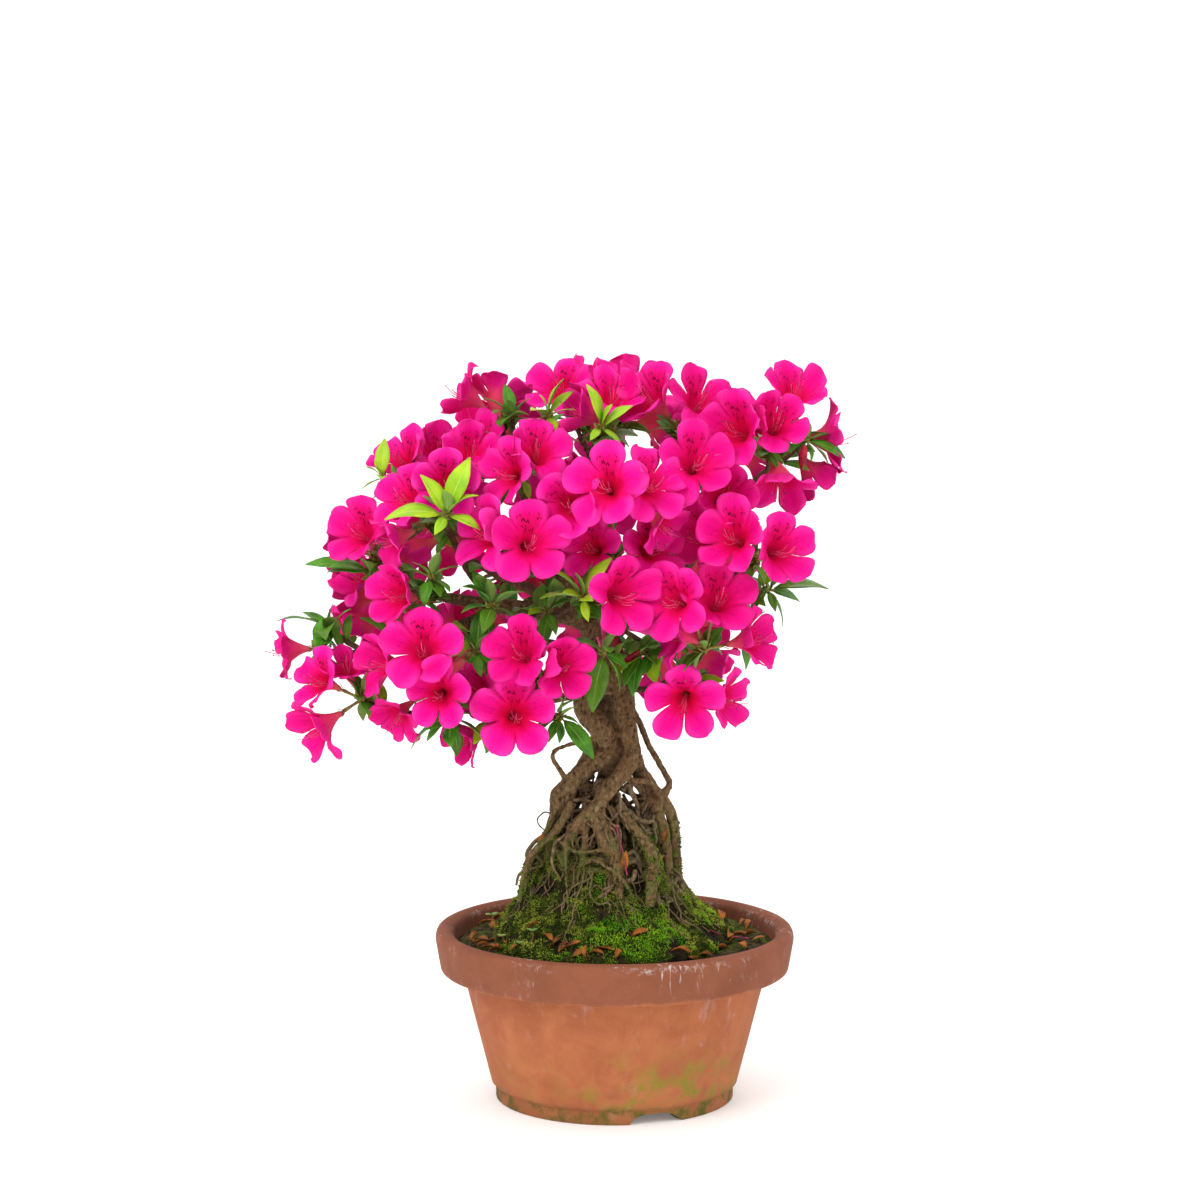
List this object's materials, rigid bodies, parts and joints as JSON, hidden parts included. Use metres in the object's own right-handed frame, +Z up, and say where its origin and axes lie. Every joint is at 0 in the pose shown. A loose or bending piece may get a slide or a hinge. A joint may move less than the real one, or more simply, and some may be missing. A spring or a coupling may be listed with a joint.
{
  "type": "potted azalea bonsai",
  "caption": "Small flowering azalea bonsai with an exposed, interwoven root trunk on a moss mound, standing in a round unglazed clay training pot with a flat foot ring.",
  "frame": {"origin": "centre of the bounding box in plan, on the surface that the foot ring stands on", "axes": "+Z up along the pot's axis, -Y towards the front of the tree, +X towards the viewer's right"},
  "size_m": [0.3266, 0.2186, 0.4346],
  "materials": {
    "terracotta": "matte",
    "soil": "matte",
    "moss": "matte",
    "bark": "matte",
    "petal": "satin",
    "leaf_old": "satin",
    "leaf_young": "satin"
  },
  "bodies": {
    "root": {"pot": "terracotta", "soil": "soil", "moss_mound": "moss", "tree": "bark", "bloom_truss_low_mid": "petal", "bloom_truss_low_front": "petal", "bloom_truss_heart_low": "petal", "bloom_truss_heart_left": "petal", "bloom_truss_mid_right": "petal", "bloom_truss_right_mid": "petal", "bloom_truss_right_low": "petal", "bloom_truss_right_hang": "petal", "bloom_truss_low_left_front": "petal", "bloom_truss_left_inner": "petal", "bloom_truss_low_left": "petal", "bloom_truss_far_left": "petal", "bloom_truss_left_mid": "petal", "bloom_truss_left_shoulder": "petal", "bloom_truss_left_front": "petal", "bloom_truss_left_top": "petal", "bloom_truss_mid_left": "petal", "bloom_truss_right_in": "petal", "bloom_truss_far_right_front": "petal", "bloom_truss_crest_right": "petal", "bloom_truss_crest_front": "petal", "bloom_truss_far_right": "petal", "bloom_truss_crest_mid": "petal", "bloom_truss_crest_left": "petal", "bloom_truss_heart": "petal", "bloom_truss_back_far_left": "petal", "bloom_truss_back_low_left": "petal", "bloom_truss_back_left": "petal", "bloom_truss_back_left_top": "petal", "bloom_truss_back_low": "petal", "bloom_truss_back_mid": "petal", "bloom_truss_back_top": "petal", "bloom_truss_back_right": "petal", "bloom_truss_back_right_top": "petal", "bloom_truss_back_low_right": "petal", "leafy_shoot_left_front": "leaf_young", "leafy_shoot_far_left": "leaf_old", "leafy_shoot_left_mid": "leaf_old", "leafy_shoot_left_crest": "leaf_young", "leafy_shoot_crest_left": "leaf_old", "leafy_shoot_crest_mid": "leaf_young", "leafy_shoot_crest_front": "leaf_young", "leafy_shoot_heart": "leaf_young", "leafy_shoot_heart_low": "leaf_old", "leafy_shoot_low_mid": "leaf_old", "leafy_shoot_low_left": "leaf_old", "leafy_shoot_left_inner": "leaf_old", "leafy_shoot_inner_left": "leaf_old", "leafy_shoot_inner_mid": "leaf_old", "leafy_shoot_inner_shoulder": "leaf_old", "leafy_shoot_right_mid": "leaf_old", "leafy_shoot_right_low": "leaf_old", "leafy_shoot_low_right": "leaf_old", "leafy_shoot_far_right": "leaf_old", "leafy_shoot_back_left": "leaf_old", "leafy_shoot_back_right": "leaf_old"}
  },
  "joints": []
}
